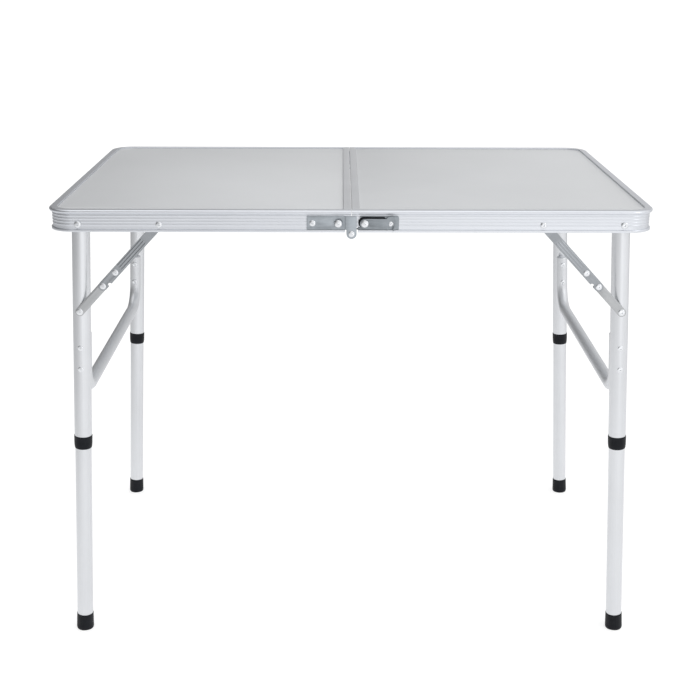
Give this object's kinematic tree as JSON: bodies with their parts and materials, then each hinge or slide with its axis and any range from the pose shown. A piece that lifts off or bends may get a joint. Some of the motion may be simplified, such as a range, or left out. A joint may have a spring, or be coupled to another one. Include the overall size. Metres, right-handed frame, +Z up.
{
  "type": "folding table",
  "caption": "Rectangular camping table whose two framed halves hinge in the middle, with fold-under leg frames, telescopic legs, locking two-link braces and a carry handle.",
  "frame": {"origin": "on the floor at the middle of the open table", "axes": "+Z up, +X along the length of the open top, -Y is the front side with the lock lever seen in the view"},
  "size_m": [0.9156, 0.6068, 0.708],
  "materials": {
    "board": "white laminated board, satin",
    "extrusion": "satin natural anodised extrusion",
    "tube": "satin anodised tube",
    "link": "satin, drawn lengthwise",
    "zinc_steel": "zinc plated",
    "black_plastic": "moulded, matte"
  },
  "bodies": {
    "left_half": {"edge_frame_left": "extrusion", "panel_left": "board", "seam_rail_left": "extrusion", "seam_brackets_left": "zinc_steel", "hinge_plates_left": "zinc_steel", "hinge_pins": "zinc_steel", "hinge_rivets_left": "zinc_steel", "leg_pivots_left": "zinc_steel", "brace_rivets_left": "zinc_steel", "handle_mounts": "black_plastic", "latch_studs": "zinc_steel"},
    "right_half": {"edge_frame_right": "extrusion", "panel_right": "board", "seam_rail_right": "extrusion", "seam_brackets_right": "zinc_steel", "hinge_plates_right": "zinc_steel", "hinge_rivets_right": "zinc_steel", "lever_pads": "black_plastic", "leg_pivots_right": "zinc_steel", "brace_rivets_right": "zinc_steel", "latch_pivots": "zinc_steel"},
    "left_leg_frame": {"upper_tube_fl": "tube", "upper_tube_bl": "tube", "collar_fl": "black_plastic", "collar_bl": "black_plastic", "tube_plugs_left": "black_plastic", "spreader_left": "tube", "spreader_rivets_left": "zinc_steel"},
    "right_leg_frame": {"upper_tube_fr": "tube", "upper_tube_br": "tube", "collar_fr": "black_plastic", "collar_br": "black_plastic", "tube_plugs_right": "black_plastic", "spreader_right": "tube", "spreader_rivets_right": "zinc_steel"},
    "lower_leg_fl": {"lower_tube_fl": "tube", "foot_cap_fl": "black_plastic"},
    "upper_brace_fl": {"upper_link_fl": "link", "brace_pins_fl": "zinc_steel"},
    "lower_brace_fl": {"lower_link_fl": "link"},
    "lower_leg_bl": {"lower_tube_bl": "tube", "foot_cap_bl": "black_plastic"},
    "upper_brace_bl": {"upper_link_bl": "link", "brace_pins_bl": "zinc_steel"},
    "lower_brace_bl": {"lower_link_bl": "link"},
    "lower_leg_fr": {"lower_tube_fr": "tube", "foot_cap_fr": "black_plastic"},
    "upper_brace_fr": {"upper_link_fr": "link", "brace_pins_fr": "zinc_steel"},
    "lower_brace_fr": {"lower_link_fr": "link"},
    "lower_leg_br": {"lower_tube_br": "tube", "foot_cap_br": "black_plastic"},
    "upper_brace_br": {"upper_link_br": "link", "brace_pins_br": "zinc_steel"},
    "lower_brace_br": {"lower_link_br": "link"},
    "lock_lever_front": {"lock_lever_front": "zinc_steel"},
    "lock_lever_back": {"lock_lever_back": "zinc_steel"},
    "carry_handle": {"carry_handle": "black_plastic"},
    "latch_hook_front": {"latch_hook_front": "zinc_steel"},
    "latch_hook_back": {"latch_hook_back": "zinc_steel"}
  },
  "joints": [
    {"name": "centre_fold", "type": "hinge", "parent": "left_half", "child": "right_half", "pos_m": [0, 0, 0.673], "axis": [0, 1, 0], "range_deg": [0, 60]},
    {"name": "left_leg_fold", "type": "hinge", "parent": "left_half", "child": "left_leg_frame", "pos_m": [-0.403, 0, 0.686], "axis": [0, -1, 0], "range_deg": [0, 93]},
    {"name": "right_leg_fold", "type": "hinge", "parent": "right_half", "child": "right_leg_frame", "pos_m": [0.403, 0, 0.686], "axis": [0, 1, 0], "range_deg": [0, 93]},
    {"name": "lower_leg_slide_fl", "type": "slide", "parent": "left_leg_frame", "child": "lower_leg_fl", "axis": [0.0523, 0, 0.9986], "range_m": [0, 0.293]},
    {"name": "upper_brace_fold_fl", "type": "hinge", "parent": "left_half", "child": "upper_brace_fl", "pos_m": [-0.2835, -0.2925, 0.686], "axis": [0, -1, 0], "range_deg": [0, 133]},
    {"name": "lower_brace_fold_fl", "type": "hinge", "parent": "upper_brace_fl", "child": "lower_brace_fl", "pos_m": [-0.35268, -0.287, 0.61144], "axis": [0, 1, 0], "range_deg": [0, 180.2]},
    {"name": "lower_leg_slide_bl", "type": "slide", "parent": "left_leg_frame", "child": "lower_leg_bl", "axis": [0.0523, 0, 0.9986], "range_m": [0, 0.293]},
    {"name": "upper_brace_fold_bl", "type": "hinge", "parent": "left_half", "child": "upper_brace_bl", "pos_m": [-0.2835, 0.2925, 0.686], "axis": [0, -1, 0], "range_deg": [0, 133]},
    {"name": "lower_brace_fold_bl", "type": "hinge", "parent": "upper_brace_bl", "child": "lower_brace_bl", "pos_m": [-0.35268, 0.287, 0.61144], "axis": [0, 1, 0], "range_deg": [0, 180.2]},
    {"name": "lower_leg_slide_fr", "type": "slide", "parent": "right_leg_frame", "child": "lower_leg_fr", "axis": [-0.0523, 0, 0.9986], "range_m": [0, 0.293]},
    {"name": "upper_brace_fold_fr", "type": "hinge", "parent": "right_half", "child": "upper_brace_fr", "pos_m": [0.2835, -0.2925, 0.686], "axis": [0, 1, 0], "range_deg": [0, 133]},
    {"name": "lower_brace_fold_fr", "type": "hinge", "parent": "upper_brace_fr", "child": "lower_brace_fr", "pos_m": [0.35268, -0.287, 0.61144], "axis": [0, -1, 0], "range_deg": [0, 180.2]},
    {"name": "lower_leg_slide_br", "type": "slide", "parent": "right_leg_frame", "child": "lower_leg_br", "axis": [-0.0523, 0, 0.9986], "range_m": [0, 0.293]},
    {"name": "upper_brace_fold_br", "type": "hinge", "parent": "right_half", "child": "upper_brace_br", "pos_m": [0.2835, 0.2925, 0.686], "axis": [0, 1, 0], "range_deg": [0, 133]},
    {"name": "lower_brace_fold_br", "type": "hinge", "parent": "upper_brace_br", "child": "lower_brace_br", "pos_m": [0.35268, 0.287, 0.61144], "axis": [0, -1, 0], "range_deg": [0, 180.2]},
    {"name": "lock_lever_turn_front", "type": "hinge", "parent": "right_half", "child": "lock_lever_front", "pos_m": [0.0195, -0.3012, 0.689], "axis": [0, 1, 0], "range_deg": [0, 180]},
    {"name": "lock_lever_turn_back", "type": "hinge", "parent": "right_half", "child": "lock_lever_back", "pos_m": [0.0195, 0.3012, 0.689], "axis": [0, 1, 0], "range_deg": [0, 180]},
    {"name": "handle_swing", "type": "hinge", "parent": "left_half", "child": "carry_handle", "pos_m": [-0.4524, 0, 0.694], "axis": [0, 1, 0], "range_deg": [0, 120]},
    {"name": "latch_turn_front", "type": "hinge", "parent": "right_half", "child": "latch_hook_front", "pos_m": [0.4492, -0.165, 0.693], "axis": [1, 0, 0], "range_deg": [0, 90]},
    {"name": "latch_turn_back", "type": "hinge", "parent": "right_half", "child": "latch_hook_back", "pos_m": [0.4492, 0.165, 0.693], "axis": [-1, 0, 0], "range_deg": [0, 90]}
  ],
  "couplings": [
    {"joint": "upper_brace_fold_fl", "follows": "left_leg_fold", "ratio": 1.4285},
    {"joint": "lower_brace_fold_fl", "follows": "left_leg_fold", "ratio": 1.9355},
    {"joint": "upper_brace_fold_bl", "follows": "left_leg_fold", "ratio": 1.4285},
    {"joint": "lower_brace_fold_bl", "follows": "left_leg_fold", "ratio": 1.9355},
    {"joint": "upper_brace_fold_fr", "follows": "right_leg_fold", "ratio": 1.4285},
    {"joint": "lower_brace_fold_fr", "follows": "right_leg_fold", "ratio": 1.9355},
    {"joint": "upper_brace_fold_br", "follows": "right_leg_fold", "ratio": 1.4285},
    {"joint": "lower_brace_fold_br", "follows": "right_leg_fold", "ratio": 1.9355}
  ]
}
